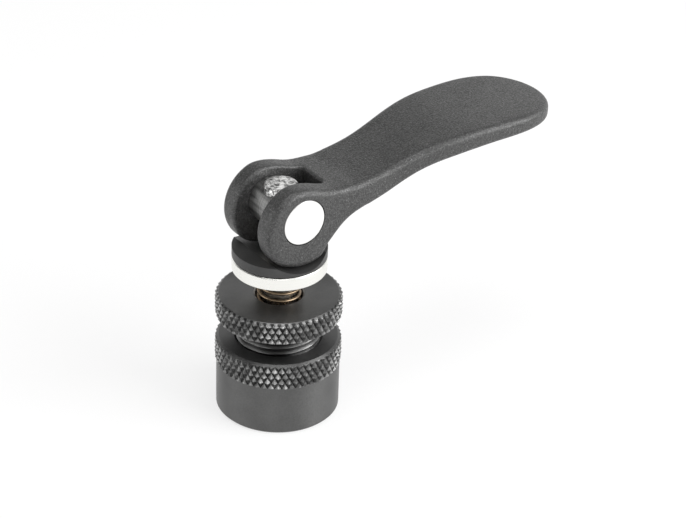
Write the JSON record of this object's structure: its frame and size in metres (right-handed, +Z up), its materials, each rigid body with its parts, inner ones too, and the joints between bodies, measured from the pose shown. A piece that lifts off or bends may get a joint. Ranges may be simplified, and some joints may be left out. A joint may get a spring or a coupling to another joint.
{
  "type": "cam lever clamping unit",
  "caption": "Height-adjustable cam lever clamp: an S-shaped forked lever rocks in a cradled pressure plate and draws a stud against a sprung washer above a knurled screw collar and sleeve.",
  "frame": {"origin": "centre of the sleeve's bottom face, which the unit stands on", "axes": "+Z up along the stud, +X along the lever's handle, +Y along the cross pin"},
  "size_m": [0.0891, 0.0296, 0.0637],
  "materials": {
    "sleeve": "blackened, satin",
    "collar": "blackened, satin",
    "spring": "bronze tinted wire",
    "washer": "turned bright",
    "pressure_plate": "moulded black",
    "stud": "bright, peened end",
    "cross_pin": "bright turned",
    "lever": "fine black powder coat"
  },
  "bodies": {
    "sleeve": {"sleeve": "sleeve"},
    "spring": {"spring": "spring"},
    "collar": {"collar": "collar"},
    "washer": {"washer": "washer"},
    "plate": {"pressure_plate": "pressure_plate"},
    "stud": {"stud": "stud", "cross_pin": "cross_pin"},
    "lever": {"lever": "lever"}
  },
  "joints": [
    {"name": "collar_lift", "type": "slide", "parent": "sleeve", "child": "spring", "axis": [0, 0, 1], "range_m": [-0.0055, 0.006]},
    {"name": "collar_turn", "type": "hinge", "parent": "spring", "child": "collar", "pos_m": [0, 0, 0.02455], "axis": [0, 0, 1], "range_deg": [-1321, 1441]},
    {"name": "press", "type": "slide", "parent": "spring", "child": "washer", "axis": [0, 0, 1], "range_m": [-0.006, 0], "stiffness_N_per_m": 1200, "springref_m": 0.0025, "deforming": ["spring"]},
    {"name": "swivel", "type": "hinge", "parent": "washer", "child": "plate", "pos_m": [0, 0, 0.03965], "axis": [0, 0, 1], "continuous": true},
    {"name": "stud_draw", "type": "slide", "parent": "plate", "child": "stud", "axis": [0, 0, -1], "range_m": [0, 0.00156]},
    {"name": "lever_swing", "type": "hinge", "parent": "stud", "child": "lever", "pos_m": [0, 0, 0.05253], "axis": [0, -1, 0], "range_deg": [0, 90]}
  ],
  "couplings": [
    {"joint": "collar_turn", "follows": "collar_lift", "rad_per_m": 4188.8},
    {"joint": "stud_draw", "follows": "lever_swing", "m_per_rad": 0.000987}
  ]
}
